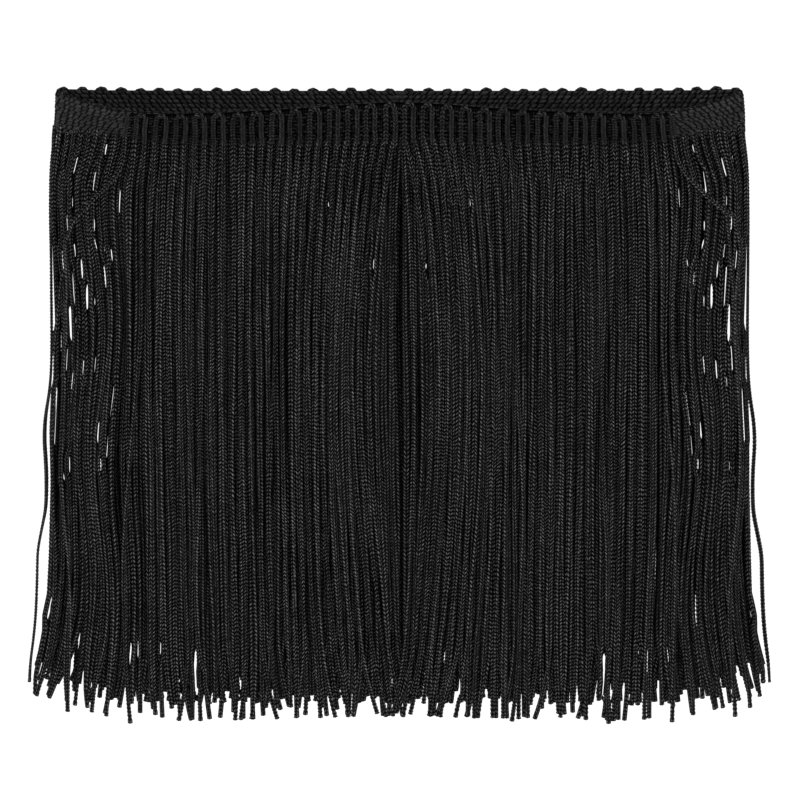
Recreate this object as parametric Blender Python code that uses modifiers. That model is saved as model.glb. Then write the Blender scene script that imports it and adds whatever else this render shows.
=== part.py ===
"""Chainette fringe trim, six inches deep: a knitted heading closed into a flattened loop, hung by its
scalloped top edge, with a double row of cut chainette cords hanging from its foot.

Metres, +Z up, front towards -Y. The origin is on the top edge, at the middle of the back half.
"""

import math
import random
from bisect import bisect_right
from collections import namedtuple

import bmesh
import bpy
from mathutils import Vector

MM = 0.001

TRIM_DEPTH = 152.4 * MM  # from the tops of the scallops to the longest cut ends
HEADING_HEIGHT = 9.7 * MM  # measured down the heading, its foot strip included
STRIP_HEIGHT = 1.5 * MM  # the heading's lowest course, which the cords leave
PIECE_GAP = 0.3 * MM
SCALLOPS = 74  # U turns of cord round the whole loop, two legs each
LEGS = 2 * SCALLOPS
COLUMNS_PER_SCALLOP = 4
COLUMNS = COLUMNS_PER_SCALLOP * SCALLOPS  # half a leg each; one cord hangs from every column
SCALLOP_DIP = 0.9 * MM
SCALLOP_ROUND = 0.2 * MM  # a leg's top lies this far below the middle of its scallop
ARCH_HEIGHT = 1.6 * MM  # from a scallop's top to where the groove between its legs starts
LEG_RELIEF = 0.75 * MM  # how far a leg stands out of the heading's middle surface
GROOVE_RELIEF = 0.3 * MM
ROLLED_RELIEF = 0.5 * MM
HEADING_THICKNESS = 1.2 * MM

STRIP_THICKNESS = 1.7 * MM
CORD_WIDTH = 1.1 * MM
CORD_THICKNESS = 0.6 * MM
LAYER_OFFSET = 0.5 * MM  # outer and inner cords lie this far each side of the middle surface

RAGGED_ENDS = 4.5 * MM
SHORT_SIDES = 5.0 * MM
RING_SHARES = (0.22, 0.5, 0.78, 1.0)  # where a cord's cross-sections lie down its length

LOOSE_SIDE_START = 60.0 * MM  # from here to the loop's ends the cords spread outwards
LOOSE_SIDE_END = 78.4 * MM
LOOSE_SIDE_CURVE = 1.5
SHOULDER_SPREAD = 1.3 * MM
SHOULDER_SHARE = 0.1  # the shoulder's spread is reached this far down
HEM_SPREAD = 4.6 * MM
PARTING_WIDTH = 6.0 * MM  # the outer cords part at the middle of the front
PARTING_REACH = 26.0 * MM
PARTING_SKEW = 0.8  # under 1 puts the widest part of the parting above half height
INNER_PARTING = 0.5  # the inner cords' share of it
FAN_WIDTH = 2.6 * MM  # the front's cords fan outwards beside the loop's ends
FAN_MIDDLE = 67.0 * MM
FAN_REACH = 7.0 * MM
WAVE_WIDTH = 1.1 * MM
WAVE_LENGTH = 43.0 * MM
SWAY = 0.3 * MM
SEED = 7

SPLINE_STEPS = 24
SLOPE_STEP = 0.002  # share of the way round over which the loop's direction is read
WELD_DISTANCE = 0.001 * MM

Fold = namedtuple("Fold", "edge_x edge_y foot_x foot_y")
# The right half of the loop in plan, in millimetres, from the middle of the back round to the middle of
# the front: where the heading's top edge runs and where its foot runs. The left half mirrors it.
FOLDS = (
    Fold(0.0, 0.0, 0.0, 0.0),
    Fold(36.0, 0.0, 36.0, 0.0),
    Fold(66.0, 0.3, 67.0, 0.5),
    Fold(75.4, 0.8, 76.0, 1.2),
    Fold(77.8, -0.9, 78.4, -0.4),
    Fold(75.4, -3.5, 76.2, -2.2),
    Fold(70.0, -8.0, 71.0, -4.4),
    Fold(63.5, -12.0, 64.2, -7.0),
    Fold(54.0, -13.3, 54.4, -8.6),
    Fold(40.0, -12.6, 40.0, -8.4),
    Fold(22.7, -10.2, 22.7, -7.4),
    Fold(9.0, -7.7, 9.0, -6.7),
    Fold(0.0, -6.6, 0.0, -6.4),
)

Stretch = namedtuple("Stretch", "name start end")
# The foot strip is cut into six stretches, named by where they hang. Start and end are shares of the
# way round the loop, from the middle of the back towards the right.
STRETCHES = (
    Stretch("fringe_back_right", 0.0, 0.216),
    Stretch("fringe_turn_right", 0.216, 0.284),
    Stretch("fringe_front_right", 0.284, 0.5),
    Stretch("fringe_front_left", 0.5, 0.716),
    Stretch("fringe_turn_left", 0.716, 0.784),
    Stretch("fringe_back_left", 0.784, 1.0),
)

Finish = namedtuple("Finish", "colour roughness sheen")
HEADING_FINISH = Finish((0.010, 0.010, 0.011, 1.0), 0.62, 0.25)
FRINGE_FINISH = Finish((0.012, 0.012, 0.013, 1.0), 0.5, 0.2)


def catmull_rom(before, start, end, after, share):
    """A point on the smooth curve from start to end."""
    square, cube = share * share, share * share * share
    return 0.5 * (
        2.0 * start
        + (end - before) * share
        + (2.0 * before - 5.0 * start + 4.0 * end - after) * square
        + (3.0 * start - before - 3.0 * end + after) * cube
    )


class Loop:
    """The closed plan of the heading, read by the share of the way round its top edge."""

    def __init__(self):
        right = [Vector(fold) * MM for fold in FOLDS]
        left = [Vector((-p[0], p[1], -p[2], p[3])) for p in reversed(right[1:-1])]
        ring = right + left
        count = len(ring)
        self.points = []
        for i in range(count):
            corners = [ring[(i + step) % count] for step in (-1, 0, 1, 2)]
            for step in range(SPLINE_STEPS):
                self.points.append(catmull_rom(*corners, step / SPLINE_STEPS))
        self.points.append(self.points[0].copy())
        self.reach = [0.0]
        for a, b in zip(self.points, self.points[1:]):
            self.reach.append(self.reach[-1] + (b.xy - a.xy).length)

    def at(self, share):
        """The edge and foot points at a share of the way round, as one four-part vector."""
        wanted = (share % 1.0) * self.reach[-1]
        i = min(bisect_right(self.reach, wanted), len(self.points) - 1)
        low, high = self.reach[i - 1], self.reach[i]
        return self.points[i - 1].lerp(self.points[i], (wanted - low) / (high - low))

    def frame(self, share):
        """The foot point, the unit way up the heading, and the unit way out of the loop."""
        here = self.at(share)
        ahead, behind = self.at(share + SLOPE_STEP), self.at(share - SLOPE_STEP)
        lean = Vector((here[0] - here[2], here[1] - here[3], 0.0))
        drop = math.sqrt(HEADING_HEIGHT**2 - lean.length_squared)
        foot = Vector((here[2], here[3], -drop))
        along = Vector((ahead[2] - behind[2], ahead[3] - behind[3], 0.0)).normalized()
        up = (lean + Vector((0.0, 0.0, drop))).normalized()
        return foot, up, up.cross(along).normalized()


LOOP = Loop()


def material(name, finish):
    made = bpy.data.materials.new(name)
    made.use_nodes = True
    shader = made.node_tree.nodes["Principled BSDF"]
    shader.inputs["Base Color"].default_value = finish.colour
    shader.inputs["Roughness"].default_value = finish.roughness
    shader.inputs["Sheen Weight"].default_value = finish.sheen
    shader.inputs["Metallic"].default_value = 0.0
    return made


def add_object(name, bm, collection, finish):
    """Turn the bmesh into an object of its own in the collection, with a material of its own."""
    bmesh.ops.recalc_face_normals(bm, faces=bm.faces)
    mesh = bpy.data.meshes.new(name)
    bm.to_mesh(mesh)
    bm.free()
    mesh.materials.append(material(name, finish))
    made = bpy.data.objects.new(name, mesh)
    collection.objects.link(made)
    return made


def counting_grid(columns, rows):
    """A flat grid whose vertices lie at whole numbers, to be bent into shape afterwards."""
    bm = bmesh.new()
    bmesh.ops.create_grid(bm, x_segments=columns, y_segments=rows, size=0.5)
    for v in bm.verts:
        v.co.x = round((v.co.x + 0.5) * columns)
        v.co.y = round((v.co.y + 0.5) * rows)
    return bm


def heading_point(column, row):
    """A point of the heading's outer face: rows run from the scalloped edge to the grooved foot."""
    foot, up, out = LOOP.frame(column / COLUMNS)
    phase = column % COLUMNS_PER_SCALLOP
    between_scallops = phase == 0
    on_leg = phase % 2 == 1
    if row == 0:
        height = HEADING_HEIGHT - (SCALLOP_DIP if between_scallops else 0.0)
        relief = GROOVE_RELIEF if between_scallops else ROLLED_RELIEF
        if on_leg:
            height -= SCALLOP_ROUND
    else:
        arch_foot = HEADING_HEIGHT - ARCH_HEIGHT - (SCALLOP_DIP if between_scallops else 0.0)
        height = arch_foot if row == 1 else STRIP_HEIGHT + PIECE_GAP
        relief = LEG_RELIEF if on_leg else GROOVE_RELIEF
    return foot + up * height + out * relief


def build_heading(collection):
    """One knitted band, open above and below, its U turns raised in its outer face."""
    bm = counting_grid(COLUMNS, 2)
    for v in bm.verts:
        v.co = heading_point(int(v.co.x) % COLUMNS, int(v.co.y))
    bmesh.ops.remove_doubles(bm, verts=bm.verts, dist=WELD_DISTANCE)
    heading = add_object("heading", bm, collection, HEADING_FINISH)
    shell = heading.modifiers.new("thickness", "SOLIDIFY")
    shell.thickness = HEADING_THICKNESS
    shell.offset = -1.0
    return heading


def side_weight(x):
    """From 0 over the middle of the loop to 1 at its ends."""
    share = (abs(x) - LOOSE_SIDE_START) / (LOOSE_SIDE_END - LOOSE_SIDE_START)
    return min(1.0, max(0.0, share)) ** LOOSE_SIDE_CURVE


def sideways(root, share, in_front, outer):
    """How far a cord has moved in x at a share of its length, the same way for its neighbours."""
    way = math.copysign(1.0, root.x)
    shoulder = SHOULDER_SPREAD * min(1.0, share / SHOULDER_SHARE)
    spread = side_weight(root.x) * (shoulder + HEM_SPREAD * share**3)
    wave = WAVE_WIDTH * math.sin(math.tau * abs(root.x) / WAVE_LENGTH) * math.sin(math.pi * share)
    if in_front:
        bow = math.sin(math.pi * share**PARTING_SKEW) * (1.0 if outer else INNER_PARTING)
        spread += PARTING_WIDTH * bow * math.exp(-abs(root.x) / PARTING_REACH)
        fan = FAN_WIDTH * math.exp(-(((abs(root.x) - FAN_MIDDLE) / FAN_REACH) ** 2))
        spread += fan * min(1.0, share / SHOULDER_SHARE)
    return way * (spread + wave)


def cord_rings(column, chance):
    """The centre of each cross-section of the cord under one column, and its two half axes."""
    root, _, out = LOOP.frame((column + 0.5) / COLUMNS)
    out = Vector((out.x, out.y, 0.0)).normalized()
    along = Vector((-out.y, out.x, 0.0))
    outer = column % 2 == 0
    in_front = out.y < 0.0
    layer = LAYER_OFFSET if outer else -LAYER_OFFSET
    length = TRIM_DEPTH + root.z - SHORT_SIDES * side_weight(root.x) - RAGGED_ENDS * chance.random() ** 2
    sway = chance.uniform(-SWAY, SWAY)
    rings = []
    for share in RING_SHARES:
        shift = sideways(root, share, in_front, outer)
        centre = root + out * layer + along * sway * share
        centre += Vector((shift, 0.0, -length * share))
        rings.append((centre, along * CORD_WIDTH / 2, out * CORD_THICKNESS / 2))
    return rings


def hang_cord(bm, root_face, rings):
    """Draw a root face down through the cross-sections, as a cord of four sides."""
    middle = root_face.calc_center_median()
    face = root_face
    for centre, half_width, half_thickness in rings:
        face = bmesh.ops.extrude_discrete_faces(bm, faces=[face])["faces"][0]
        for v in face.verts:
            arm = v.co - middle
            across = math.copysign(1.0, arm.dot(half_width))
            through = math.copysign(1.0, arm.dot(half_thickness))
            v.co = centre + half_width * across + half_thickness * through
        middle = centre


def strip_point(first, columns, place):
    """Where a strip's counting point belongs: x counts columns, y the layers, z foot or top."""
    foot, up, out = LOOP.frame((first + place.x) / COLUMNS)
    along = out.cross(up)
    inset = 0.0
    if place.x == 0:
        inset = PIECE_GAP / 2
    elif place.x == columns:
        inset = -PIECE_GAP / 2
    layer = (place.y - 1.0) * STRIP_THICKNESS / 2
    return foot + along * inset + out * layer + up * STRIP_HEIGHT * place.z


def build_fringe(stretch, collection, chance):
    """A narrow strip of the heading's foot, with one cord fused into it at each column."""
    first = round(stretch.start * LEGS) * 2
    last = round(stretch.end * LEGS) * 2
    columns = last - first
    bm = counting_grid(columns, 2)
    faces = list(bm.faces)
    raised = bmesh.ops.extrude_face_region(bm, geom=faces, use_keep_orig=True)["geom"]
    for part in raised:
        if isinstance(part, bmesh.types.BMVert):
            part.co.z = 1.0
    top_seam = [e for e in bm.edges if all(v.co.z == 1.0 and v.co.y == 1.0 for v in e.verts)]
    bmesh.ops.dissolve_edges(bm, edges=top_seam, use_verts=True)
    roots = {}
    for face in faces:
        middle = face.calc_center_median()
        column, layer = int(middle.x), int(middle.y)
        outer = (first + column) % 2 == 0
        if outer == (layer == 1):
            roots[first + column] = face
    for v in bm.verts:
        v.co = strip_point(first, columns, v.co.copy())
    for column in sorted(roots):
        hang_cord(bm, roots[column], cord_rings(column, chance))
    add_object(stretch.name, bm, collection, FRINGE_FINISH)


def main():
    for old in list(bpy.data.objects):
        bpy.data.objects.remove(old, do_unlink=True)
    collection = bpy.data.collections.new("chainette_fringe_trim")
    bpy.context.scene.collection.children.link(collection)
    chance = random.Random(SEED)
    build_heading(collection)
    for stretch in STRETCHES:
        build_fringe(stretch, collection, chance)


main()
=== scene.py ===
"""Looks of the chainette fringe trim: every cord and stitch as black rayon yarn.

Metres, +Z up, front towards -Y, as in the frame. Lengths round the loop are shares of its way round,
from the middle of the back towards the right.
"""

import math
import random
from collections import namedtuple

import bpy
import numpy as np
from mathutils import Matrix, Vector


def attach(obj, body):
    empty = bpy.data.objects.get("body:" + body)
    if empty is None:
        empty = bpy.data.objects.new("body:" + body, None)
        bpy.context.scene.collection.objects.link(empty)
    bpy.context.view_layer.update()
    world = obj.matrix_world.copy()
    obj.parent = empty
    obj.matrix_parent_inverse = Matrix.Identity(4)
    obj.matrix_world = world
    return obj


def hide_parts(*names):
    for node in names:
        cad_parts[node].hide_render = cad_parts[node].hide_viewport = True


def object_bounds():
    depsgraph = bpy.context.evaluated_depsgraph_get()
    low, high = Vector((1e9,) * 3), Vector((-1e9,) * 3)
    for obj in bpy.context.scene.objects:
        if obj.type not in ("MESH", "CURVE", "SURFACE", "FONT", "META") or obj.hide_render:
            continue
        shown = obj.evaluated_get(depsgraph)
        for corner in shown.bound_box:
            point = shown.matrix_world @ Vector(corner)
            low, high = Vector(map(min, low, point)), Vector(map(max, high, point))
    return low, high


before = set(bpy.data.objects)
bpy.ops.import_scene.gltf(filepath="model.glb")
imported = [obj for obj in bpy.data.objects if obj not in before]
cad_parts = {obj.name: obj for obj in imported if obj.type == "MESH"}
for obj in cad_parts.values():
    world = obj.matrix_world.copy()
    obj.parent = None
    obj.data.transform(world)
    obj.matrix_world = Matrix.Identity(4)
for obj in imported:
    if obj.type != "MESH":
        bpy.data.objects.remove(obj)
cad_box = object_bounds()

MM = 0.001

# The trim's own sizes, the same as the solids have.
TRIM_DEPTH = 152.4 * MM
HEADING_HEIGHT = 9.7 * MM
SCALLOPS = 74
COLUMNS = 4 * SCALLOPS  # one hanging cord to each column, two columns to each leg of a scallop
RAGGED_ENDS = 5.5 * MM
SHORT_SIDES = 5.0 * MM
LOOSE_SIDE_START = 60.0 * MM
LOOSE_SIDE_END = 78.4 * MM
LOOSE_SIDE_CURVE = 1.5
SHOULDER_SPREAD = 1.4 * MM
SHOULDER_SHARE = 0.1
HEM_SPREAD = 5.0 * MM
HEM_CURVE = 7.0
PARTING_WIDTH = 6.0 * MM
PARTING_REACH = 26.0 * MM
PARTING_SKEW = 0.8
FAN_WIDTH = 2.6 * MM  # the front's cords fan outwards beside the loop's ends
FAN_MIDDLE = 67.0 * MM
FAN_REACH = 7.0 * MM
FAN_SWING = 0.4  # how much of the fan comes and goes down the cords
FAN_FIRST = 0.11  # share of a cord at which it is first at its widest
FAN_AGAIN = 0.46  # and how much further on it is again
WAVE_WIDTH = 1.1 * MM
WAVE_LENGTH = 43.0 * MM
SEED = 7

Fold = namedtuple("Fold", "edge_x edge_y foot_x foot_y")
# The right half of the loop in plan, in millimetres, from the middle of the back round to the middle of
# the front: where the heading's top edge runs and where its foot runs. The left half mirrors it.
FOLDS = (
    Fold(0.0, 0.0, 0.0, 0.0),
    Fold(36.0, 0.0, 36.0, 0.0),
    Fold(66.0, 0.3, 67.0, 0.5),
    Fold(75.4, 0.8, 76.0, 1.2),
    Fold(77.8, -0.9, 78.4, -0.4),
    Fold(75.4, -3.5, 76.2, -2.2),
    Fold(70.0, -8.0, 71.0, -4.4),
    Fold(63.5, -12.0, 64.2, -7.0),
    Fold(54.0, -13.3, 54.4, -8.6),
    Fold(40.0, -12.6, 40.0, -8.4),
    Fold(22.7, -10.2, 22.7, -7.4),
    Fold(9.0, -7.7, 9.0, -6.7),
    Fold(0.0, -6.6, 0.0, -6.4),
)

Stretch = namedtuple("Stretch", "name start end")
STRETCHES = (
    Stretch("fringe_back_right", 0.0, 0.216),
    Stretch("fringe_turn_right", 0.216, 0.284),
    Stretch("fringe_front_right", 0.284, 0.5),
    Stretch("fringe_front_left", 0.5, 0.716),
    Stretch("fringe_turn_left", 0.716, 0.784),
    Stretch("fringe_back_left", 0.784, 1.0),
)

# A knit says how stitches lie along a cord: their pitch, how far each slants across the cord, the rings
# of one stitch as (place in it, size), the section's sides, whether the two halves of the cord's face
# slant opposite ways, and how many stitches one ring spans.
Knit = namedtuple("Knit", "pitch slant profile sides chevron span")
CHAIN = Knit(0.92 * MM, 0.37 * MM, ((0.0, 0.48), (0.45, 1.0)), 4, True, 1)
INNER_CHAIN = CHAIN._replace(profile=((0.0, 0.95),))
PLAIN_CHAIN = CHAIN._replace(profile=((0.0, 1.0),), span=4)
CLOSE_CHAIN = PLAIN_CHAIN._replace(span=2)

# The photograph's view.
IMAGE_PX = 800
PX_PER_MM = 4.41
VIEW_ELEVATION = math.radians(25.0)
BACK_EDGE_PX = 90.0  # the image row of the back half's top edge
MIDDLE_PX = 399.5  # the image column of the trim's middle
LENS_MM = 1200.0
SENSOR_MM = 36.0

SPLINE_STEPS = 24
SLOPE_STEP = 0.002


def catmull_rom(before, start, end, after, share):
    square, cube = share * share, share * share * share
    return 0.5 * (
        2.0 * start
        + (end - before) * share
        + (2.0 * before - 5.0 * start + 4.0 * end - after) * square
        + (3.0 * start - before - 3.0 * end + after) * cube
    )


def unit(vectors):
    return vectors / np.linalg.norm(vectors, axis=-1, keepdims=True)


def smoothstep(low, high, value):
    share = np.clip((value - low) / (high - low), 0.0, 1.0)
    return share * share * (3.0 - 2.0 * share)


class Loop:
    """The closed plan of the heading, read by arrays of shares of the way round."""

    def __init__(self):
        right = [np.array(fold) * MM for fold in FOLDS]
        left = [p * (-1, 1, -1, 1) for p in reversed(right[1:-1])]
        ring = right + left
        count = len(ring)
        points = [
            catmull_rom(*(ring[(i + step) % count] for step in (-1, 0, 1, 2)), share / SPLINE_STEPS)
            for i in range(count)
            for share in range(SPLINE_STEPS)
        ]
        self.points = np.array(points + points[:1])
        steps = np.linalg.norm(np.diff(self.points[:, :2], axis=0), axis=1)
        self.reach = np.concatenate(([0.0], np.cumsum(steps)))
        self.length = self.reach[-1]

    def at(self, share):
        wanted = np.mod(share, 1.0) * self.length
        return np.stack([np.interp(wanted, self.reach, column) for column in self.points.T], axis=-1)

    def frame(self, share):
        """Foot point, way up the heading, way out of the loop and way along it, at each share."""
        share = np.asarray(share, dtype=float)
        here, ahead, behind = self.at(share), self.at(share + SLOPE_STEP), self.at(share - SLOPE_STEP)
        lean = here[..., :2] - here[..., 2:]
        drop = np.sqrt(HEADING_HEIGHT**2 - (lean**2).sum(-1))
        foot = np.stack([here[..., 2], here[..., 3], -drop], axis=-1)
        up = unit(np.stack([lean[..., 0], lean[..., 1], drop], axis=-1))
        run = ahead[..., 2:] - behind[..., 2:]
        along = unit(np.stack([run[..., 0], run[..., 1], np.zeros_like(drop)], axis=-1))
        return foot, up, unit(np.cross(up, along)), along


LOOP = Loop()


CUT_END = 0.95  # size of a cut end, for the cord's full width
ROOT_RINGS = (0.25, 0.5)  # rings that a long span has besides at its root
UNEVEN_STITCHES = 0.13
UNEVEN_ROWS = 0.2
UNEVEN_MOST = 2.0  # a stitch differs from the mean by at most this many times as much
PINCH = 0.5  # share of a stitch's narrowing that the cord's width follows
QUARTERS = 4.0  # the stitch map counts the way round a cord in quarters
CUT_SHADE = 0.5  # the place on the stitch map that a cut end takes
BAKE_SIDE = 0.06  # margin at the sides of a cord's strip of the bake map, for the strip's width
BAKE_TIP = 0.004  # margin at the strip's ends
BAKE_CUT = 0.001  # where the cut ends lie in that margin


class Cords:
    """Collects swept cords as one mesh, with a map of each cord's stitches in its corners."""

    def __init__(self, uneven=UNEVEN_STITCHES):
        self.points, self.faces, self.stitch_map, self.bake_map = [], [], [], []
        self.count = 0
        self.uneven = uneven
        self.chance = np.random.default_rng(SEED)

    def sweep(self, path, across, face, half_width, half_thickness, knit, column):
        """Sweep a stitched section along a path; column is its strip of the bake map (start, width)."""
        steps = np.linalg.norm(np.diff(path, axis=0), axis=1)
        reach = np.concatenate(([0.0], np.cumsum(steps)))
        groups = max(1, round(reach[-1] / knit.pitch / knit.span))
        phase = [i + start for i in range(groups) for start, _ in knit.profile]
        scale = [size for _ in range(groups) for _, size in knit.profile]
        phase = np.array(phase + [float(groups)])
        scale = np.array(scale + [CUT_END])
        if knit.span > 1:
            phase = np.insert(phase, 1, ROOT_RINGS)
            scale = np.insert(scale, 1, np.ones(len(ROOT_RINGS)))
        turn = math.tau * np.arange(knit.sides) / knit.sides
        shift = knit.slant * (2 * np.abs(np.cos(turn)) - 1 if knit.chevron else np.cos(turn))
        fade = np.minimum(1.0, np.minimum(phase, groups - phase))[:, None]
        lengths = 1.0 + self.uneven * self.chance.standard_normal(groups).clip(-UNEVEN_MOST, UNEVEN_MOST)
        ends = np.concatenate(([0.0], np.cumsum(lengths))) / lengths.sum()
        where = np.interp(phase, np.arange(groups + 1), ends * reach[-1])[:, None]
        stitch = phase[:, None] * knit.span
        if knit.span == 1:
            where = where + fade * shift[None, :]
            stitch = stitch + 0.0 * shift[None, :]
        else:
            where = where + 0.0 * shift[None, :]
            stitch = stitch - shift[None, :] / knit.pitch

        def read(values):
            return np.stack([np.interp(where, reach, column) for column in values.T], axis=-1)

        size = scale[:, None, None]
        flat = np.cos(turn)[None, :, None] * half_width * (1.0 - PINCH + PINCH * size)
        thick = np.sin(turn)[None, :, None] * half_thickness * size
        points = read(path) + read(across) * flat + read(face) * thick
        self.add(points, phase / phase[-1], stitch, column)

    def add(self, points, share, stitch, column):
        rings, sides, _ = points.shape
        self.points.append(points.reshape(-1, 3))
        ring = np.arange(rings - 1)[:, None]
        side = np.arange(sides)[None, :]
        after = (side + 1) % sides
        corners = [ring * sides + side, ring * sides + after]
        corners += [(ring + 1) * sides + after, (ring + 1) * sides + side]
        self.faces.append(np.stack(corners, axis=-1).reshape(-1, 4) + self.count)
        wrapped = np.concatenate((stitch, stitch[:, :1]), axis=1)
        u = np.stack([wrapped[:-1, :-1], wrapped[:-1, 1:], wrapped[1:, 1:], wrapped[1:, :-1]], axis=-1)
        whole = np.broadcast_to(side, (rings - 1, sides))
        v = np.stack([whole, whole + 1, whole + 1, whole], axis=-1) * (QUARTERS / sides)
        self.stitch_map.append(np.stack([u, v], axis=-1).reshape(-1, 2))
        start, width = column
        low = np.broadcast_to(share[:-1, None], (rings - 1, sides))
        high = np.broadcast_to(share[1:, None], (rings - 1, sides))
        down = np.stack([low, low, high, high], axis=-1)
        bake_u = start + width * (BAKE_SIDE + (1.0 - 2.0 * BAKE_SIDE) * v / QUARTERS)
        bake_v = BAKE_TIP + (1.0 - 2.0 * BAKE_TIP) * down
        self.bake_map.append(np.stack([bake_u, bake_v], axis=-1).reshape(-1, 2))
        self.cap(0, sides, flip=True, bake=(start, BAKE_CUT))
        self.cap((rings - 1) * sides, sides, flip=False, bake=(start, 1.0 - BAKE_CUT))
        self.count += rings * sides

    def cap(self, first, sides, flip, bake):
        """Close a cord's end with four-cornered faces."""
        quads = [(0, i, i + 1, i + 2) for i in range(1, sides - 1, 2)]
        if flip:
            quads = [tuple(reversed(quad)) for quad in quads]
        quads = np.array(quads)
        self.faces.append(quads + first + self.count)
        self.stitch_map.append(np.full((quads.size, 2), CUT_SHADE))
        self.bake_map.append(np.tile(np.array(bake), (quads.size, 1)))

    def piece(self, name, material, slot, node=None):
        points = np.concatenate(self.points)
        faces = np.concatenate(self.faces)
        mesh = bpy.data.meshes.new(name)
        mesh.vertices.add(len(points))
        mesh.vertices.foreach_set("co", points.astype(np.float32).ravel())
        mesh.loops.add(faces.size)
        mesh.loops.foreach_set("vertex_index", faces.astype(np.int32).ravel())
        mesh.polygons.add(len(faces))
        mesh.polygons.foreach_set("loop_start", np.arange(0, faces.size, 4, dtype=np.int32))
        for layer_name, rows in (("stitches", self.stitch_map), ("OFBake", self.bake_map)):
            layer = mesh.uv_layers.new(name=layer_name)
            layer.uv.foreach_set("vector", np.concatenate(rows).astype(np.float32).ravel())
        mesh.update(calc_edges=True)
        mesh.validate()
        mesh.polygons.foreach_set("use_smooth", np.zeros(len(faces), dtype=bool))
        mesh.materials.append(material)
        return placed(name, mesh, node)


def placed(name, mesh, node=None):
    made = bpy.data.objects.new(name, mesh)
    bpy.context.scene.collection.objects.link(made)
    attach(made, "root")
    if node:
        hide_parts(node)
    return made


def side_weight(x):
    share = (np.abs(x) - LOOSE_SIDE_START) / (LOOSE_SIDE_END - LOOSE_SIDE_START)
    return np.clip(share, 0.0, 1.0) ** LOOSE_SIDE_CURVE


def sideways(root_x, share, in_front, parting):
    """How far a cord has moved in x at each share of its length, the same way for its neighbours."""
    way = math.copysign(1.0, root_x)
    shoulder = SHOULDER_SPREAD * np.minimum(1.0, share / SHOULDER_SHARE)
    spread = side_weight(root_x) * (shoulder + HEM_SPREAD * share**HEM_CURVE)
    wave = WAVE_WIDTH * math.sin(math.tau * abs(root_x) / WAVE_LENGTH) * np.sin(math.pi * share)
    if in_front:
        bow = parting * np.sin(math.pi * share**PARTING_SKEW)
        spread = spread + PARTING_WIDTH * bow * math.exp(-abs(root_x) / PARTING_REACH)
        fan = FAN_WIDTH * math.exp(-(((abs(root_x) - FAN_MIDDLE) / FAN_REACH) ** 2))
        swung = 1.0 - FAN_SWING * (1.0 - np.cos(math.tau * (share - FAN_FIRST) / FAN_AGAIN))
        spread = spread + fan * swung * smoothstep(0.0, FAN_FIRST, share)
    return way * (spread + wave * (1.0 - side_weight(root_x)))


Ripple = namedtuple("Ripple", "size length turns start")
RIPPLE_COUNT = 7
RIPPLE_ROOT = 0.1  # share of a cord over which the waves grow from nought
RIPPLE_SIZES = (0.08, 0.26)  # millimetres
RIPPLE_LENGTHS = (18.0, 60.0)  # millimetres across the fringe
RIPPLE_TURNS = (-1.4, 1.4)  # waves down a cord


def make_ripples(chance):
    """Slow waves that neighbouring cords share."""
    return [
        Ripple(
            chance.uniform(*RIPPLE_SIZES) * MM,
            chance.uniform(*RIPPLE_LENGTHS) * MM,
            chance.uniform(*RIPPLE_TURNS),
            chance.uniform(0.0, math.tau),
        )
        for _ in range(RIPPLE_COUNT)
    ]


def rippled(ripples, root_x, share):
    grown = np.minimum(1.0, share / RIPPLE_ROOT)
    waves = [r.size * np.sin(math.tau * (root_x / r.length + r.turns * share) + r.start) for r in ripples]
    return grown * sum(waves)


def swing(share, chance, size, waves):
    """A lazy wave down one cord, nought at its root, with a number of turns within waves."""
    turns = chance.uniform(*waves)
    start = chance.uniform(0.0, math.tau)
    return size * np.minimum(1.0, share / RIPPLE_ROOT) * np.sin(math.tau * turns * share + start)


TURN_START = 60.0 * MM
TURN_END = 65.0 * MM
TURN_FROM = -0.7  # how far the outer face looks to the front where a turn begins, from -1 to 1
TURN_TO = -0.2


def turned(foot, out):
    """1 where the front half bends to the sides, and 0 elsewhere."""
    side = smoothstep(TURN_START, TURN_END, np.abs(foot[..., 0]))
    return side * smoothstep(TURN_FROM, TURN_TO, -out[..., 1])


PATH_POINTS = 120
ROOT_RISE = 0.4 * MM  # how far a cord runs up into the heading
LEG_HOLD = 0.09  # share of a cord over which it moves from under its leg to its own place
DIP = 1.3 * MM  # how far the cords behind swing into the loop just below the heading
DIP_START = 0.012
TIP_SHARE = 0.14
TIP_SPLAY = 1.3 * MM
TIP_CURVE = 2
WANDER = 0.2 * MM
LOOSE_WANDER = 0.4 * MM
WANDER_WAVES = (0.5, 1.5)
QUICK_WAVES = (2.5, 5.0)
QUICK_PART = 3  # the quick waves are this many times as small
DEPTH_WANDER = 0.14 * MM
DEPTH_WAVES = (0.6, 2.0)
TWIST = math.radians(34.0)
TWIST_WAVES = (0.4, 2.4)
LEAN = math.radians(16.0)
PITCH_SPREAD = 0.11
TIP_REACH = 1.9 * MM  # how far the ends hang below the trim's nominal depth
TURN_LIFT = 0.4 * MM  # at the turns the cords start this much further out, over the lowest rows
TURN_RISE = 1.6  # and up to this many times as much higher
TURN_FACING = (0.3, 0.9)  # how far a cord's root looks to the front where that comes in
END_SINK = 0.85 * MM  # how much further in the cords start at the loop's very ends
UNDER_SHORT = 5.0 * MM  # how much shorter the hidden cords are cut
UNDER_RAGGED = (0.6, 1.4)  # and times how much that is from cord to cord
RAGGED_CURVE = 3

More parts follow.
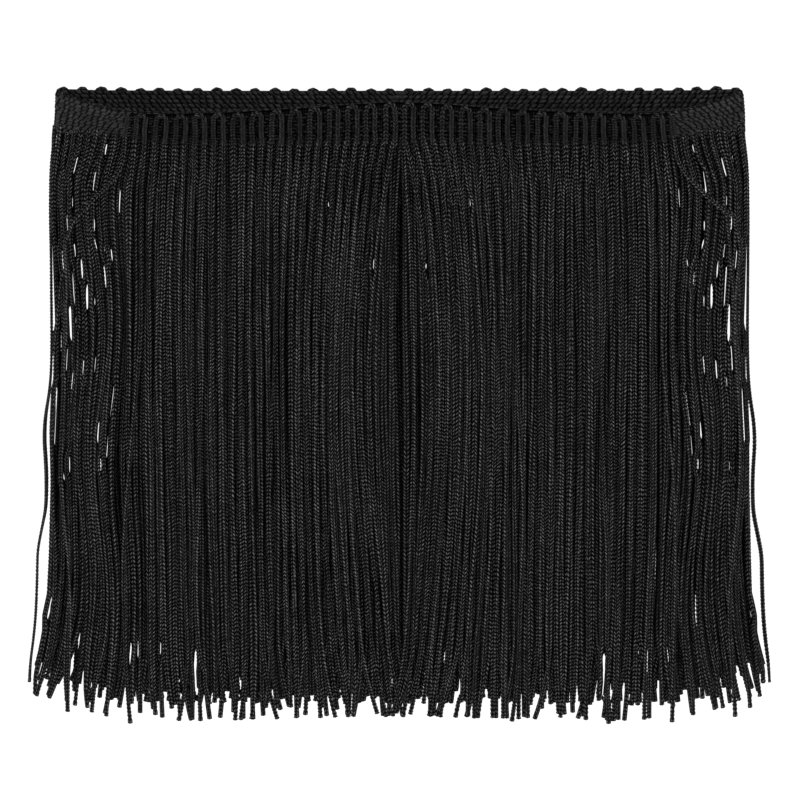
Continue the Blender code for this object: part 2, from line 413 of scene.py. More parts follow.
# Start and end are the columns that a cord is moved by at its root and below it; a relief is how far its
# middle lies outside the heading's middle surface, at its root and below it; parting is its share of the
# front's parting at the middle.
Cord = namedtuple("Cord", "start end root_relief relief width thickness knit parting")
FACE_CORD = Cord(0.5, 0.25, 0.33 * MM, 0.5 * MM, 1.16 * MM, 0.84 * MM, CHAIN, 1.0)
MIDDLE_CORD = Cord(-0.5, 0.25, -0.7 * MM, 0.1 * MM, 1.16 * MM, 0.84 * MM, INNER_CHAIN, 0.5)
GROOVE_CORD = Cord(-0.5, -0.3, -0.65 * MM, -0.8 * MM, 1.4 * MM, 0.5 * MM, PLAIN_CHAIN, 0.25)
LINING_CORD = Cord(-0.25, -0.25, -0.65 * MM, -1.4 * MM, 1.4 * MM, 0.5 * MM, PLAIN_CHAIN, 0.1)

Stray = namedtuple("Stray", "root_x low high shift")
# Single cords of the front that cross their neighbours: between two shares of its length a cord whose
# root is at root_x moves sideways by shift, outwards if above nought; millimetres, the same on both sides.
STRAYS = (
    Stray(62.3, 0.04, 0.18, 12.0),
    Stray(71.0, 0.10, 0.42, 5.0),
    Stray(58.0, 0.30, 0.80, 4.0),
    Stray(76.5, 0.45, 0.75, 2.2),
    Stray(25.5, 0.30, 0.70, -2.0),
    Stray(44.0, 0.35, 0.85, 2.4),
)
STRAY_LIFT = 1.4 * MM  # how far a crossing cord lies over its neighbours
STRAY_CLEAR = 0.8 * MM  # by when it has moved this far sideways


def stray_shift(root_x, share):
    for stray in STRAYS:
        if abs(abs(root_x) - stray.root_x * MM) < LOOP.length / COLUMNS:
            moved = smoothstep(stray.low, stray.high, share)
            return math.copysign(stray.shift * MM, root_x) * moved
    return 0.0 * share


Slit = namedtuple("Slit", "across down length drift width")
# Where daylight shows between the cords in the photograph, in its picture plane: how far a slit's upper
# end lies from the trim's middle and below its top edge, its length, how much further out its lower end
# lies, and its width; millimetres, the same on both sides.
SLITS = (
    Slit(75.4, 14.2, 2.2, 0.4, 0.34),
    Slit(73.1, 15.3, 4.1, 1.1, 0.45),
    Slit(66.4, 12.3, 1.8, 0.4, 0.50),
    Slit(68.9, 18.1, 5.0, 0.8, 0.36),
    Slit(51.9, 14.1, 2.5, 0.0, 0.25),
    Slit(63.4, 22.7, 4.2, 0.3, 0.30),
    Slit(74.3, 24.0, 2.1, 0.0, 0.36),
    Slit(16.0, 24.6, 2.2, 0.2, 0.45),
    Slit(12.1, 23.6, 1.4, 0.1, 0.34),
    Slit(75.6, 28.8, 3.1, -0.2, 0.34),
    Slit(69.3, 29.8, 1.3, 0.0, 0.38),
    Slit(79.0, 34.0, 19.4, -0.5, 0.40),
    Slit(76.8, 36.1, 4.4, -0.4, 0.30),
    Slit(74.0, 34.8, 4.3, -0.6, 0.36),
    Slit(69.2, 34.2, 1.9, -0.5, 0.36),
    Slit(67.0, 36.2, 1.9, -0.4, 0.40),
    Slit(65.6, 36.2, 2.7, -0.3, 0.30),
    Slit(6.0, 38.8, 2.4, 0.0, 0.36),
    Slit(72.4, 39.0, 3.3, -0.2, 0.34),
    Slit(67.1, 39.9, 4.5, -0.4, 0.34),
    Slit(74.4, 40.2, 12.8, -0.8, 0.30),
    Slit(71.0, 44.6, 3.9, 0.0, 0.60),
    Slit(69.3, 46.7, 2.0, 0.0, 0.40),
    Slit(75.1, 49.4, 7.3, -0.3, 0.54),
    Slit(75.6, 58.3, 5.4, 0.3, 0.40),
    Slit(78.9, 60.3, 5.7, 0.1, 0.34),
    Slit(71.9, 61.4, 3.8, 0.3, 0.30),
    Slit(69.1, 60.4, 4.1, 0.4, 0.36),
    Slit(74.4, 64.6, 2.8, 0.3, 0.36),
    Slit(78.0, 67.3, 12.7, 0.7, 0.34),
    Slit(65.0, 67.7, 8.9, 1.3, 0.34),
    Slit(68.6, 76.0, 2.9, 0.3, 0.38),
    Slit(66.4, 78.1, 6.0, 0.5, 0.36),
    Slit(76.6, 83.2, 5.4, 0.0, 0.38),
    Slit(75.3, 83.4, 3.4, 0.0, 0.34),
    Slit(68.1, 83.8, 2.5, 0.0, 0.34),
    Slit(79.6, 115.6, 4.7, 1.0, 0.34),
    Slit(61.3, 126.9, 3.9, 0.4, 0.36),
    Slit(54.6, 125.8, 2.9, 0.1, 0.34),
    Slit(46.9, 128.1, 9.0, -0.5, 0.85),
    Slit(45.2, 132.4, 2.7, 0.0, 0.40),
    Slit(13.8, 134.2, 2.8, 0.0, 0.36),
)
SLIT_END = 2.0 * MM  # beyond each end of a slit the cords close up over this length
SLIT_CLEAR = 0.78  # share of a cord's half width that is kept off a slit


def part_at_slits(path, side, half_width):
    """Move a cord sideways off every slit that it would cover in the photograph's view."""
    across = path[:, 0] * side
    down = -(path[:, 2] * math.cos(VIEW_ELEVATION) + path[:, 1] * math.sin(VIEW_ELEVATION))
    for slit in SLITS:
        length = slit.length * MM
        below = down - slit.down * MM
        middle = (slit.across + slit.drift * np.clip(below / length, -0.5, 1.5)) * MM
        off = across - middle
        parted = smoothstep(-SLIT_END, 0.0, below) * (1.0 - smoothstep(length, length + SLIT_END, below))
        way = math.copysign(1.0, (off * parted).sum())
        clear = half_width * SLIT_CLEAR + slit.width * MM / 2
        across = across + way * parted * np.maximum(clear - off * way, 0.0)
    path[:, 0] = across * side


Knot = namedtuple("Knot", "depth x")
# The outermost cord of each side hangs by itself: its distance from the trim's middle at some depths
# below the top edge, in millimetres.
LONE_CORD = (
    Knot(9.0, 77.8),
    Knot(17.5, 79.0),
    Knot(32.5, 79.3),
    Knot(62.5, 79.2),
    Knot(74.0, 79.5),
    Knot(85.0, 81.2),
    Knot(97.5, 80.5),
    Knot(108.5, 80.9),
    Knot(113.0, 82.7),
    Knot(127.5, 83.0),
    Knot(136.0, 83.5),
    Knot(145.5, 84.8),
)
LONE_BLEND = 4  # path points over which each bend of that cord is rounded
# How far from the trim's middle the other cords hang at most, at some depths.
BUNDLE_EDGE = (
    Knot(9.0, 78.6),
    Knot(32.0, 78.6),
    Knot(62.0, 78.5),
    Knot(85.0, 79.3),
    Knot(97.0, 79.1),
    Knot(115.0, 79.5),
    Knot(127.0, 80.0),
    Knot(137.0, 81.3),
    Knot(146.0, 83.2),
)
EDGE_HOLD = 0.85  # share of what lies beyond that edge that is taken back


def hang_alone(path, side):
    """Lead a cord through the places of the lone cord, its corners rounded."""
    depths, places = np.array(LONE_CORD).T * MM
    led = np.interp(-path[:, 2], depths, places)
    kernel = np.ones(2 * LONE_BLEND + 1) / (2 * LONE_BLEND + 1)
    padded = np.concatenate((np.full(LONE_BLEND, led[0]), led, np.full(LONE_BLEND, led[-1])))
    path[:, 0] = np.convolve(padded, kernel, mode="valid") * side


def hold_in(path, side):
    """Draw a cord back towards the edge of the bundle where it hangs beyond it."""
    depths, places = np.array(BUNDLE_EDGE).T * MM
    beyond = path[:, 0] * side - np.interp(-path[:, 2], depths, places)
    path[:, 0] -= side * EDGE_HOLD * np.maximum(beyond, 0.0)


def hanging_cord(cords, column, cord, ripples, chance, looks, strip, alone=False):
    """One cut cord of the fringe, from under its leg of the heading down to its end."""
    share = np.linspace(0.0, 1.0, PATH_POINTS)
    held = np.minimum(1.0, share / LEG_HOLD)
    place = column + 0.5 + cord.start + (cord.end - cord.start) * held
    foot, _, out, along = LOOP.frame(place / COLUMNS)
    at_turn = 0.0
    if cord is FACE_CORD:
        at_turn = turned(foot[0], out[0]) * smoothstep(*TURN_FACING, -out[0, 1])
    root, _, _, _ = LOOP.frame((column + 0.5) / COLUMNS)
    out = unit(out * (1, 1, 0))
    in_front = out[0, 1] < 0.0
    shown = cord in (FACE_CORD, MIDDLE_CORD)
    side = math.copysign(1.0, root[0])
    weight = side_weight(root[0])
    ragged = RAGGED_ENDS * chance.random() ** RAGGED_CURVE
    length = TRIM_DEPTH + TIP_REACH + root[2] - SHORT_SIDES * weight - ragged
    if not shown:
        length -= UNDER_SHORT * looks.uniform(*UNDER_RAGGED)
    wander = WANDER + (LOOSE_WANDER - WANDER) * weight
    own = swing(share, looks, wander, WANDER_WAVES)
    own = own + swing(share, looks, wander / QUICK_PART, QUICK_WAVES)
    tip = np.clip((share - 1.0 + TIP_SHARE) / TIP_SHARE, 0.0, 1.0) ** TIP_CURVE
    own = own + tip * looks.gauss(0.0, 1.0) * TIP_SPLAY
    root_relief = cord.root_relief + TURN_LIFT * at_turn
    if cord is FACE_CORD:
        root_relief -= END_SINK * (1.0 - abs(out[0, 1]))
    relief = root_relief + (cord.relief - root_relief) * held
    if cord is not FACE_CORD:
        dipped = smoothstep(0.0, DIP_START, share) * (1.0 - smoothstep(DIP_START, LEG_HOLD, share))
        relief = relief - DIP * dipped
    relief = relief + swing(share, looks, DEPTH_WANDER, DEPTH_WAVES)
    path = foot + along * own[:, None] + out * relief[:, None]
    path[:, 0] += sideways(root[0], share, in_front, cord.parting)
    path[:, 0] += rippled(ripples[0] if in_front else ripples[1], root[0], share)
    if in_front and cord is FACE_CORD:
        moved = stray_shift(root[0], share)
        path[:, 0] += moved
        lift = STRAY_LIFT * np.minimum(1.0, np.abs(moved) / STRAY_CLEAR)
        path[:, :2] += out[:, :2] * lift[:, None]
    rise = ROOT_RISE + CHAIN.pitch * looks.random() * (1.0 + TURN_RISE * at_turn)
    path[:, 2] = foot[:, 2] + rise - (length + rise) * share
    if alone:
        hang_alone(path, side)
    else:
        hold_in(path, side)
        part_at_slits(path, side, cord.width / 2)
    lean = looks.gauss(0.0, 1.0) * LEAN * np.minimum(1.0, share / RIPPLE_ROOT)
    angle = (swing(share, looks, TWIST, TWIST_WAVES) + lean) * (1.0 - tip)
    across = along * np.cos(angle)[:, None] + out * np.sin(angle)[:, None]
    face = out * np.cos(angle)[:, None] - along * np.sin(angle)[:, None]
    run = unit(np.gradient(path, axis=0))
    across = unit(across - run * (across * run).sum(-1, keepdims=True))
    face = unit(face - run * (face * run).sum(-1, keepdims=True))
    pitch = cord.knit.pitch * (1.0 + looks.uniform(-PITCH_SPREAD, PITCH_SPREAD))
    slant = cord.knit.slant * looks.choice((-1.0, 1.0))
    knit = cord.knit._replace(pitch=pitch, slant=slant)
    cords.sweep(path, across, face, cord.width / 2, cord.thickness / 2, knit, strip)


CLOSE_CORD = LINING_CORD._replace(start=0.0, end=0.25, relief=-0.9 * MM, parting=0.0)
CLOSE_MIDDLE = 50.0 * MM  # how far from the middle the fringe hangs closest


def lone_columns():
    """The outer column at each end of the loop."""
    roots = LOOP.frame((np.arange(COLUMNS) + 0.5) / COLUMNS)[0][:, 0]
    outer = np.arange(COLUMNS) % 2 == 0
    return {int(np.argmax(np.where(outer, roots, 0.0))), int(np.argmin(np.where(outer, roots, 0.0)))}


def build_fringe(material, shaded_under_material):
    """The fringe's cords as six pieces, and the cords that lie under them as six more."""
    made = []
    chance = random.Random(SEED)
    looks = random.Random(SEED + 1)
    ripples = (make_ripples(looks), make_ripples(looks))
    alone = lone_columns()
    for stretch in STRETCHES:
        first = round(stretch.start * 2 * SCALLOPS) * 2
        last = round(stretch.end * 2 * SCALLOPS) * 2
        cords, under = Cords(), Cords()
        width = 1.0 / (last - first)
        for column in range(first, last):
            outer = column % 2 == 0
            strip = (column - first) * width
            shown = FACE_CORD if outer else MIDDLE_CORD
            hanging_cord(cords, column, shown, ripples, chance, looks, (strip, width), column in alone)
            root, _, _, _ = LOOP.frame((column + 0.5) / COLUMNS)
            middle = abs(root[0]) < CLOSE_MIDDLE
            knit = PLAIN_CHAIN if middle else CLOSE_CHAIN
            hidden = (GROOVE_CORD if outer else LINING_CORD)._replace(knit=knit)
            hanging_cord(under, column, hidden, ripples, looks, looks, (strip, width / 2))
            if middle and outer:
                second = (strip + width / 2, width / 2)
                hanging_cord(under, column, CLOSE_CORD, ripples, looks, looks, second)
        made.append(cords.piece(stretch.name + "_cords", material, "chainette_cord", stretch.name))
        # the cords underneath take the darker rayon, as painted shade
        made.append(under.piece(stretch.name + "_under", shaded_under_material, "chainette_cord"))
    return made


LEG_CORD_WIDTH = 1.22 * MM
LEG_CORD_THICKNESS = 1.0 * MM
LEG_BOW = 0.2 * MM  # how far a leg may bend sideways halfway up
LEG_MIDDLE = 0.4 * MM  # how far the legs' middle lines stand out of the heading
LEG_SINK = 0.8 * MM  # how much less they stand out at the turns of the front
ARCH_TOP = HEADING_HEIGHT + 0.45 * MM
ARCH_POINTS = 9
ARCH_RADII = (0.9, 1.06)  # an arch's radius for half the legs' distance
ARCH_RISES = (-0.2, 0.2)  # millimetres
LEG_POINTS = 6
LEG_REACH = 0.9 * MM  # how far the legs run on below the heading's foot
LEG_REACHES = (0.4, 1.6)  # and times how much that is from leg to leg
LEG_TILTS = (-0.12, 0.12)  # millimetres that a leg's top stands aside
LEG_WIDTHS = (0.92, 1.06)
LEG_KNIT = CHAIN._replace(slant=0.4 * MM, sides=8, profile=((0.0, 0.68), (0.45, 1.0)))


def build_scallops(material):
    """The outer face's U turns: each runs up a leg, over its arch and down the next leg."""
    cords = Cords()
    looks = random.Random(SEED + 2)
    half = LOOP.length / SCALLOPS / 4
    for scallop in range(SCALLOPS):
        radius = half * looks.uniform(*ARCH_RADII)
        bend = ARCH_TOP - LEG_CORD_WIDTH / 2 + looks.uniform(*ARCH_RISES) * MM - radius
        angles = np.linspace(math.pi, 0.0, ARCH_POINTS)
        up_leg = np.linspace(-LEG_REACH * looks.uniform(*LEG_REACHES), bend, LEG_POINTS)
        down_leg = np.linspace(bend, -LEG_REACH * looks.uniform(*LEG_REACHES), LEG_POINTS)
        leg_aside = np.full(LEG_POINTS - 1, half)
        heights = np.concatenate((up_leg[:-1], bend + radius * np.sin(angles), down_leg[1:]))
        aside = np.concatenate((-leg_aside, radius * np.cos(angles), leg_aside))
        aside = aside + looks.uniform(*LEG_TILTS) * MM * heights / bend
        bows = np.where(aside < 0.0, looks.uniform(-1.0, 1.0), looks.uniform(-1.0, 1.0)) * LEG_BOW
        aside = aside + bows * np.sin(math.pi * np.clip(heights / bend, 0.0, 1.0))
        foot, up, out, _ = LOOP.frame((scallop + 0.5) / SCALLOPS + aside / LOOP.length)
        relief = LEG_MIDDLE - LEG_SINK * turned(foot, out)
        path = foot + up * heights[:, None] + out * relief[:, None]
        run = unit(np.gradient(path, axis=0))
        across = unit(np.cross(run, out))
        strip = (scallop / SCALLOPS, 1.0 / SCALLOPS)
        half_width = LEG_CORD_WIDTH / 2 * looks.uniform(*LEG_WIDTHS)
        cords.sweep(path, across, out, half_width, LEG_CORD_THICKNESS / 2, LEG_KNIT, strip)
    return cords.piece("heading_scallops", material, "heading_yarn")


def level_cord(cords, height, relief, half_width, half_thickness, knit, strip, start, end):
    """A cord that runs level along the heading between two shares of the way round."""
    count = round(abs(end - start) * COLUMNS * 2)
    foot, up, out, _ = LOOP.frame(np.linspace(start, end, count + 1))
    reliefs = relief(foot, out) if callable(relief) else np.full(count + 1, relief)
    path = foot + up * height + out * reliefs[:, None]
    across = up if end > start else -up
    cords.sweep(path, across, out, half_width, half_thickness, knit, strip)


RUNG_COUNT = 8
RUNG_TOP = HEADING_HEIGHT - 1.2 * MM
RUNG_RELIEF = -0.2 * MM
RUNG_WIDTH = 1.1 * MM
RUNG_THICKNESS = 0.44 * MM
RUNG_KNIT = Knit(1.5 * MM, 0.4 * MM, ((0.0, 0.6), (0.5, 1.0)), 4, False, 1)


def build_rungs(material):
    """The level binding yarns deep in the grooves between the legs."""
    cords = Cords()
    space = RUNG_TOP / RUNG_COUNT
    for rung in range(RUNG_COUNT):
        height = (rung + 0.5) * space
        strip = (rung / RUNG_COUNT, 1.0 / RUNG_COUNT)
        sizes = (RUNG_WIDTH / 2, RUNG_THICKNESS / 2)
        level_cord(cords, height, RUNG_RELIEF, *sizes, RUNG_KNIT, strip, 0.0, 1.0)
    return cords.piece("heading_rungs", material, "heading_yarn")


ROW_COUNT = 9
ROW_MIDDLE = -0.58 * MM
ROW_THICKNESS = 0.7 * MM
ROW_TOP = HEADING_HEIGHT + 0.05 * MM
ROW_OVERLAP = 1.14  # a row's width for its share of the height
ROW_SHIFT = 0.5  # how far a row's stitches start aside at most, for a scallop's width
ROW_KNIT = Knit(1.5 * MM, 0.42 * MM, ((0.0, 0.62), (0.5, 1.0)), 8, False, 1)


def build_rows(material):
    """The inner face's level rows of chain stitches, which lean the other way in each half."""
    cords = Cords(UNEVEN_ROWS)
    looks = random.Random(SEED + 3)
    space = ROW_TOP / ROW_COUNT
    for row in range(ROW_COUNT):
        height = (row + 0.5) * space
        sizes = (space * ROW_OVERLAP / 2, ROW_THICKNESS / 2)
        for half, way in enumerate((1.0, -1.0)):
            strip = ((2 * row + half) / ROW_COUNT / 2, 0.5 / ROW_COUNT)
            knit = ROW_KNIT._replace(slant=ROW_KNIT.slant * way)
            shift = way * looks.uniform(0.0, ROW_SHIFT) / SCALLOPS
            level_cord(cords, height, ROW_MIDDLE, *sizes, knit, strip, -shift, way * 0.5)
    return cords.piece("heading_rows", material, "heading_yarn")


TURN_ROW_SINK = 0.4 * MM  # how far the rows sink away where the legs stand out
TURN_ROW_SHIFT = 0.4
TURN_ROW_THICKNESS = 0.72 * MM
TURN_ROW_START = 0.243  # from the loop's end round to where the legs stand out again
TURN_ROW_END = 0.325
TURN_KNIT = Knit(1.6 * MM, 0.3 * MM, ((0.0, 0.66), (0.5, 1.0)), 8, False, 1)


def turn_row_relief(foot, out):
    return -TURN_ROW_SINK * (1.0 - turned(foot, out))


def build_turn_rows(material):
    """The rows of stitches that cover the outer face where the front half bends to the sides."""
    cords = Cords(UNEVEN_ROWS)
    looks = random.Random(SEED + 4)
    space = ROW_TOP / ROW_COUNT
    for row in range(ROW_COUNT):
        height = (row + 0.5) * space
        sizes = (space * ROW_OVERLAP / 2, TURN_ROW_THICKNESS / 2)
        for half, way in enumerate((1.0, -1.0)):
            strip = ((2 * row + half) / ROW_COUNT / 2, 0.5 / ROW_COUNT)
            knit = TURN_KNIT._replace(slant=TURN_KNIT.slant * way)
            shift = way * looks.uniform(0.0, TURN_ROW_SHIFT) / SCALLOPS
            ends = (way * TURN_ROW_START + shift, way * TURN_ROW_END + shift)
            level_cord(cords, height, turn_row_relief, *sizes, knit, strip, *ends)
    return cords.piece("heading_turn_rows", material, "heading_yarn")


GROUND_TOP = HEADING_HEIGHT - 0.15 * MM
GROUND_FRONT = -0.05 * MM
GROUND_BACK = -0.45 * MM
GROUND_ROWS = 6


def build_ground(material):
    """The heading's thin knitted ground, a closed band behind the legs."""
    count = COLUMNS * 2
    foot, up, out, _ = LOOP.frame(np.arange(count) / count)
    heights = np.linspace(0.0, GROUND_TOP, GROUND_ROWS)
    section = [(GROUND_FRONT, height) for height in heights]
    section += [(GROUND_BACK, height) for height in heights[::-1]]
    points = np.stack([foot + up * height + out * relief for relief, height in section], axis=1)
    sides = len(section)
    step = np.arange(count)[:, None]
    side = np.arange(sides)[None, :]
    after, beyond = (side + 1) % sides, (step + 1) % count
    corners = [step * sides + side, beyond * sides + side, beyond * sides + after, step * sides + after]
    faces = np.stack(corners, axis=-1).reshape(-1, 4)
    mesh = bpy.data.meshes.new("heading_ground")
    mesh.from_pydata(points.reshape(-1, 3).tolist(), [], faces.tolist())
    stitches = mesh.uv_layers.new(name="stitches")
    whole_step = np.broadcast_to(step, (count, sides))
    whole_side = np.broadcast_to(side, (count, sides))
    u = np.stack([whole_step, whole_step + 1, whole_step + 1, whole_step], axis=-1)
    v = np.stack([whole_side, whole_side, whole_side + 1, whole_side + 1], axis=-1)
    stitches.uv.foreach_set("vector", np.stack([u, v], axis=-1).astype(np.float32).ravel())
    mesh.validate()
    mesh.materials.append(material)
    return placed("heading_ground", mesh, "heading")


class Nodes:
    """Short calls for building a node tree."""

    def __init__(self, name):
        self.material = bpy.data.materials.new(name)
        self.material.use_nodes = True
        self.tree = self.material.node_tree
        self.shader = self.tree.nodes["Principled BSDF"]

    def new(self, kind, **settings):
        node = self.tree.nodes.new(kind)
        for key, value in settings.items():
            setattr(node, key, value)
        return node

    def link(self, out, into):
        self.tree.links.new(out, into)

    def math(self, operation, *values, clamp=False):
        node = self.new("ShaderNodeMath", operation=operation, use_clamp=clamp)
        for socket, value in zip(node.inputs, values):
            if isinstance(value, (int, float)):
                socket.default_value = value
            else:
                self.link(value, socket)
        return node.outputs[0]

    def ramp(self, value, from_low, from_high, to_low=0.0, to_high=1.0):
        """From one pair of values to another, with soft ends."""
        node = self.new("ShaderNodeMapRange", interpolation_type="SMOOTHSTEP")
        self.link(value, node.inputs["Value"])
        node.inputs["From Min"].default_value = from_low
        node.inputs["From Max"].default_value = from_high
        node.inputs["To Min"].default_value = to_low
        node.inputs["To Max"].default_value = to_high
        return node.outputs["Result"]

    def blend(self, factor, dark, light):
        node = self.new("ShaderNodeMix", data_type="RGBA")
        self.link(factor, node.inputs["Factor"])
        node.inputs["A"].default_value = dark
        node.inputs["B"].default_value = light
        return node.outputs["Result"]

    def noise(self, vector, scale, detail):
        node = self.new("ShaderNodeTexNoise")
        node.inputs["Scale"].default_value = scale
        node.inputs["Detail"].default_value = detail
        self.link(vector, node.inputs["Vector"])
        return node.outputs["Fac"]


Yarn = namedtuple("Yarn", "sunk proud gap middle edge roughness specular stitch_depth fibre_depth")
# The first colour is the painted shade between the stitches, the second the stitches' colour lifted by
# painted highlight;
# gap is the share of a stitch that stays dark as painted shade; middle and edge say how dark the painted
# shade along the cord's middle line and at its edges is, from 0 to 1.
# The fringe's stitches are painted far lighter than black rayon is, as painted highlight.
CORD_YARN = Yarn(
    sunk=(0.0004, 0.0004, 0.0005, 1.0),
    proud=(0.105, 0.105, 0.108, 1.0),
    gap=0.46,
    middle=1.0,
    edge=1.0,
    roughness=(0.40, 0.62),
    specular=0.035,
    stitch_depth=0.10 * MM,
    fibre_depth=0.012 * MM,
)
# The cords under the others get a darker copy of the same rayon, as painted shade.
SHADED_UNDER_YARN = CORD_YARN._replace(proud=(0.075, 0.075, 0.077, 1.0))
LEG_YARN = CORD_YARN._replace(proud=(0.048, 0.048, 0.049, 1.0), gap=0.36, middle=0.7, edge=0.9)
ROW_YARN = CORD_YARN._replace(proud=(0.031, 0.031, 0.032, 1.0), gap=0.2, middle=0.0)
TURN_YARN = ROW_YARN._replace(proud=(0.034, 0.034, 0.035, 1.0), gap=0.24)
# The rungs deep in the grooves get a darker copy with little reflection, as painted shade.
SHADED_RUNG_YARN = CORD_YARN._replace(proud=(0.034, 0.034, 0.034, 1.0), gap=0.3, middle=0.0, specular=0.005)
# The ground behind the legs gets a near-black copy with no reflection, as painted shade.
SHADED_GROUND_YARN = CORD_YARN._replace(proud=(0.009, 0.009, 0.009, 1.0), gap=0.3, edge=0.3, specular=0.0)

STITCH_SLOPE = 0.1  # share of a stitch over which its painted shade turns to painted light
MIDDLE_LINE = (0.08, 0.34)  # where the painted shade of the middle line fades, in quarters round from it
EDGE_LINE = (0.66, 0.93)  # and where the painted shade of the edge begins
FILAMENTS_ALONG = 4.0  # grains of the filaments in one stitch
FILAMENTS_ROUND = 2.2  # and in a quarter round the cord
APART = 90.0  # sets the noise of one cord off from the next one's
PATCH_SCALE = 120.0
NOISE_DETAIL = 2.0
NOISE_SPAN = (0.3, 0.7)  # the noise values that count as lowest and highest
EACH_CORD = (0.24, 0.88)  # how much the cords differ in shade, and the darkest one's shade
EACH_STITCH = (0.7, 0.6)  # the same for the stitches
WORN = (0.92, 1.08)
# how far the filaments' grain and painted sheen lift or lower the colour
FILAMENT_GRAIN_AND_PAINTED_SHEEN = (0.4, 1.6)
SHADE_LEVEL = 0.6


def yarn_material(name, yarn):
    """Black rayon: painted shade between the stitches, painted highlight on them, fine filaments with
    painted sheen, and no two cords alike.
    """
    n = Nodes(name)
    at = n.new("ShaderNodeUVMap", uv_map="stitches")
    parts = n.new("ShaderNodeSeparateXYZ")
    n.link(at.outputs["UV"], parts.inputs[0])
    along, round_ = parts.outputs["X"], parts.outputs["Y"]
    fraction = n.math("FRACT", along)
    from_gap = n.math("SUBTRACT", 0.5, n.math("ABSOLUTE", n.math("SUBTRACT", fraction, 0.5)))
    hump = n.ramp(from_gap, yarn.gap / 2, yarn.gap / 2 + STITCH_SLOPE)
    from_middle = n.math("ABSOLUTE", n.math("SUBTRACT", n.math("MODULO", round_, 2.0), 1.0))
    middle = n.ramp(from_middle, *MIDDLE_LINE, 1.0 - yarn.middle, 1.0)
    edge = n.ramp(from_middle, *EDGE_LINE, 1.0, 1.0 - yarn.edge)
    # The lobe mask is painted shade in the gaps, along the middle line and at the edges, and also the
    # stitch bump's height.
    lobe = n.math("MULTIPLY", n.math("MULTIPLY", hump, middle), edge)
    place = n.new("ShaderNodeNewGeometry")
    island = place.outputs["Random Per Island"]
    fibre_at = n.new("ShaderNodeCombineXYZ")
    n.link(n.math("MULTIPLY", along, FILAMENTS_ALONG), fibre_at.inputs[0])
    n.link(n.math("MULTIPLY", round_, FILAMENTS_ROUND), fibre_at.inputs[1])
    n.link(n.math("MULTIPLY", island, APART), fibre_at.inputs[2])
    fibre = n.noise(fibre_at.outputs[0], 1.0, NOISE_DETAIL)
    stitch_at = n.new("ShaderNodeCombineXYZ")
    n.link(n.math("FLOOR", along), stitch_at.inputs[0])
    n.link(n.math("FLOOR", round_), stitch_at.inputs[1])
    n.link(n.math("MULTIPLY", island, APART), stitch_at.inputs[2])
    stitch_noise = n.new("ShaderNodeTexWhiteNoise", noise_dimensions="3D")
    n.link(stitch_at.outputs[0], stitch_noise.inputs["Vector"])
    patch = n.noise(place.outputs["Position"], PATCH_SCALE, NOISE_DETAIL)
    each = n.math("MULTIPLY_ADD", island, *EACH_CORD)
    stitch = n.math("MULTIPLY_ADD", stitch_noise.outputs["Value"], *EACH_STITCH)
    worn = n.ramp(patch, *NOISE_SPAN, *WORN)
    # filament grain together with painted sheen along the filaments
    filament_grain_and_painted_sheen = n.ramp(fibre, *NOISE_SPAN, *FILAMENT_GRAIN_AND_PAINTED_SHEEN)
    shade = n.math("MULTIPLY", n.math("MULTIPLY", lobe, each), n.math("MULTIPLY", worn, filament_grain_and_painted_sheen))
    shade = n.math("MULTIPLY", shade, n.math("MULTIPLY", stitch, SHADE_LEVEL), clamp=True)
    n.link(n.blend(shade, yarn.sunk, yarn.proud), n.shader.inputs["Base Color"])
    n.link(n.ramp(fibre, 0.0, 1.0, *yarn.roughness), n.shader.inputs["Roughness"])
    stitch_bump = n.new("ShaderNodeBump")
    stitch_bump.inputs["Distance"].default_value = yarn.stitch_depth
    n.link(lobe, stitch_bump.inputs["Height"])
    fibre_bump = n.new("ShaderNodeBump")
    fibre_bump.inputs["Distance"].default_value = yarn.fibre_depth
    n.link(fibre, fibre_bump.inputs["Height"])
    n.link(stitch_bump.outputs["Normal"], fibre_bump.inputs["Normal"])
    n.link(fibre_bump.outputs["Normal"], n.shader.inputs["Normal"])
    n.shader.inputs["Specular IOR Level"].default_value = yarn.specular
    return n.material


FLOOR_DROP = 0.5
FLOOR_SIZE = 14.0
FLOOR_COLOUR = (0.93, 0.93, 0.93, 1.0)
FLOOR_ROUGHNESS = 0.9


def build_stage():
    """A plain pale floor well under the hanging trim."""
    n = Nodes("pale_floor")
    n.shader.inputs["Base Color"].default_value = FLOOR_COLOUR
    n.shader.inputs["Roughness"].default_value = FLOOR_ROUGHNESS
    bpy.ops.mesh.primitive_plane_add(size=FLOOR_SIZE, location=(0, 0, cad_box[0].z - FLOOR_DROP))
    floor = bpy.context.object
    floor.name = "floor"
    floor.data.materials.append(n.material)


WORLD_COLOUR = (1.0, 1.0, 1.0, 1.0)
WORLD_STRENGTH = 0.85
Lamp = namedtuple("Lamp", "name place size power")
LAMPS = (
    Lamp("key", (0.0, -1.3, 1.6), (1.6, 0.8), 34.0),
    Lamp("top", (0.0, 0.5, 2.2), (2.0, 1.2), 14.0),
    Lamp("low", (0.0, -0.6, -0.3), (0.9, 0.3), 0.8),
)


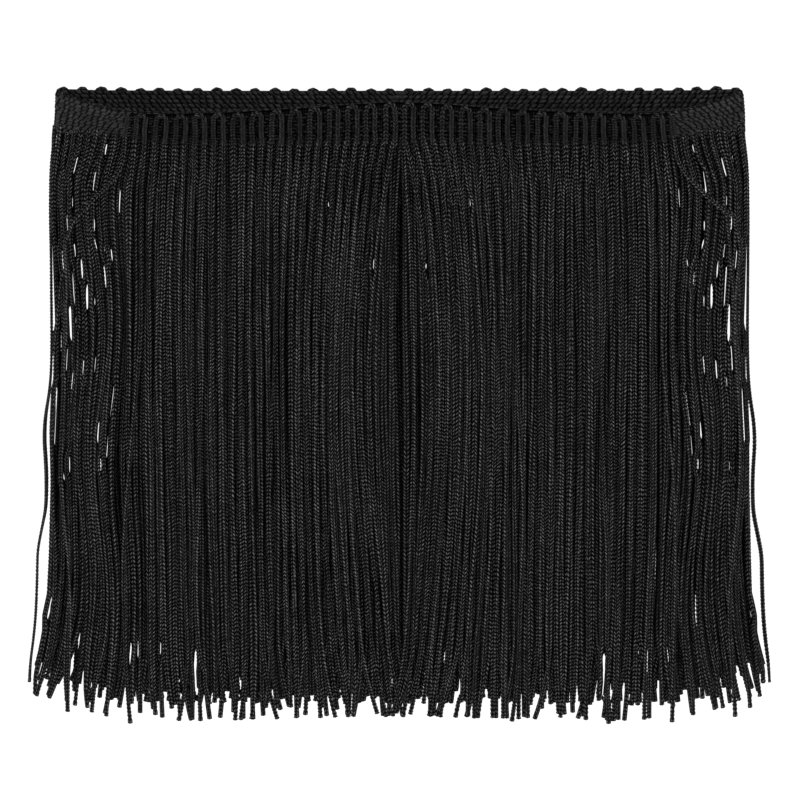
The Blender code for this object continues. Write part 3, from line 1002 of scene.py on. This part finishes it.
def area_light(lamp, aim):
    light = bpy.data.lights.new(lamp.name, "AREA")
    light.shape = "RECTANGLE"
    light.size, light.size_y = lamp.size
    light.energy = lamp.power
    made = bpy.data.objects.new(lamp.name, light)
    made.location = lamp.place
    made.rotation_euler = (Vector(aim) - Vector(lamp.place)).to_track_quat("-Z", "Y").to_euler()
    bpy.context.scene.collection.objects.link(made)


def build_light():
    world = bpy.data.worlds.new("studio")
    world.use_nodes = True
    world.node_tree.nodes["Background"].inputs["Color"].default_value = WORLD_COLOUR
    world.node_tree.nodes["Background"].inputs["Strength"].default_value = WORLD_STRENGTH
    bpy.context.scene.world = world
    middle = (0.0, 0.0, -TRIM_DEPTH / 2)
    for lamp in LAMPS:
        area_light(lamp, middle)
    bpy.context.scene.view_settings.view_transform = "Standard"


CLIP_START = 0.1
CLIP_END = 50.0


def build_camera():
    """The photograph's view: from in front and 25 degrees above, through a long lens."""
    data = bpy.data.cameras.new("camera")
    data.lens, data.sensor_width = LENS_MM, SENSOR_MM
    camera = bpy.data.objects.new("camera", data)
    bpy.context.scene.collection.objects.link(camera)
    bpy.context.scene.camera = camera
    up = Vector((0.0, math.sin(VIEW_ELEVATION), math.cos(VIEW_ELEVATION)))
    back = Vector((0.0, -math.cos(VIEW_ELEVATION), math.sin(VIEW_ELEVATION)))
    middle = IMAGE_PX / 2
    aim = Vector(((middle - MIDDLE_PX) / PX_PER_MM * MM, 0.0, 0.0))
    aim -= up * ((middle - BACK_EDGE_PX) / PX_PER_MM * MM)
    width = IMAGE_PX / PX_PER_MM * MM
    camera.location = aim + back * (width * LENS_MM / SENSOR_MM)
    camera.rotation_euler = (-back).to_track_quat("-Z", "Y").to_euler()
    data.clip_start, data.clip_end = CLIP_START, CLIP_END


build_camera()
build_stage()
build_light()
fringe = build_fringe(
    yarn_material("chainette_rayon", CORD_YARN),
    yarn_material("painted_shade_under_rayon", SHADED_UNDER_YARN),
)
trimmings = [
    build_scallops(yarn_material("scallop_rayon", LEG_YARN)),
    build_rungs(yarn_material("painted_shade_rung_rayon", SHADED_RUNG_YARN)),
    build_rows(yarn_material("row_rayon", ROW_YARN)),
    build_turn_rows(yarn_material("turn_rayon", TURN_YARN)),
]
ground = build_ground(yarn_material("painted_shade_ground_rayon", SHADED_GROUND_YARN))
